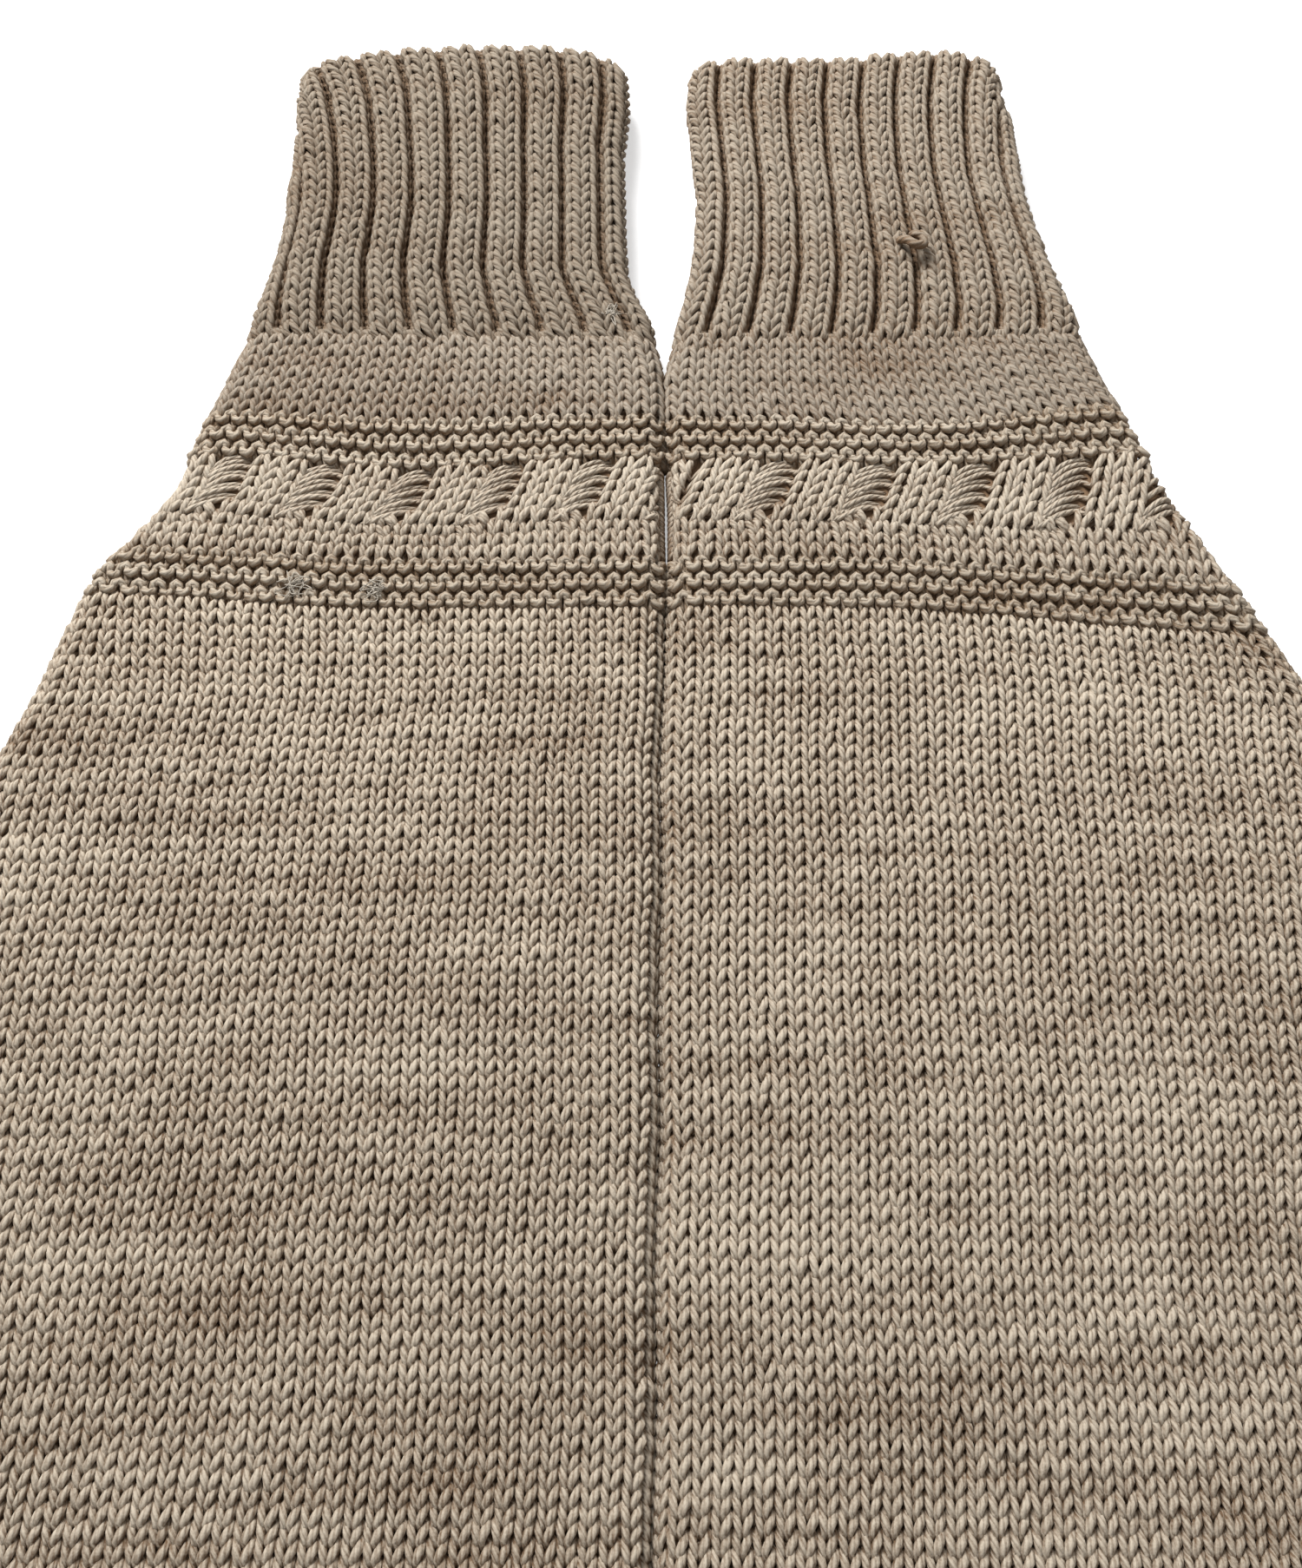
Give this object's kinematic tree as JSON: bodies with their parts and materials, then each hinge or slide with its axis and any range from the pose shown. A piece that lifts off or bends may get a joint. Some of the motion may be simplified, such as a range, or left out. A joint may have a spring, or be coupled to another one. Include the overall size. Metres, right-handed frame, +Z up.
{
  "type": "pair of fingerless gloves",
  "caption": "Long knitted fingerless gloves lying flat side by side: ribbed cuffs, plain wrists, ridged welts around a crossed-stitch band, and wide plain arms open at the end.",
  "frame": {"origin": "middle of the pair on the surface it lies on, half way along its length", "axes": "+X across the pair to the right glove, +Y along the gloves to the hand ends, +Z up from the surface"},
  "size_m": [0.2816, 0.3598, 0.0152],
  "materials": {
    "plain_wool": "heathered beige wool in plain stitch",
    "ribbed_wool": "heathered beige wool in a raised rib",
    "ridged_wool": "heathered beige wool in garter ridges",
    "crossed_wool": "heathered beige wool in crossed stitches",
    "seam_wool": "darker inside of the knit, turned in at the seam"
  },
  "bodies": {
    "left_glove": {"left_wrist_courses": "plain_wool", "left_upper_welt": "ridged_wool", "left_crossed_band": "crossed_wool", "left_lower_welt": "ridged_wool", "left_arm_tube": "plain_wool", "left_arm_hem": "plain_wool", "left_arm_seam": "seam_wool"},
    "left_cuff": {"left_cuff_edge": "ribbed_wool", "left_rib_cuff": "ribbed_wool", "left_cuff_seam": "seam_wool"},
    "right_glove": {"right_wrist_courses": "plain_wool", "right_upper_welt": "ridged_wool", "right_crossed_band": "crossed_wool", "right_lower_welt": "ridged_wool", "right_arm_tube": "plain_wool", "right_arm_hem": "plain_wool", "right_arm_seam": "seam_wool"},
    "right_cuff": {"right_cuff_edge": "ribbed_wool", "right_rib_cuff": "ribbed_wool", "right_cuff_seam": "seam_wool", "right_yarn_end": "plain_wool"}
  },
  "joints": [
    {"name": "left_cuff_fold", "type": "hinge", "parent": "left_glove", "child": "left_cuff", "pos_m": [-0.045, 0.09195, 0.0135], "axis": [1, 0, 0], "range_deg": [0, 170]},
    {"name": "right_glove_apart", "type": "slide", "parent": "left_glove", "child": "right_glove", "axis": [1, 0, 0], "range_m": [0, 0.15]},
    {"name": "right_cuff_fold", "type": "hinge", "parent": "right_glove", "child": "right_cuff", "pos_m": [0.045, 0.09195, 0.0135], "axis": [1, 0, 0], "range_deg": [0, 170]}
  ]
}
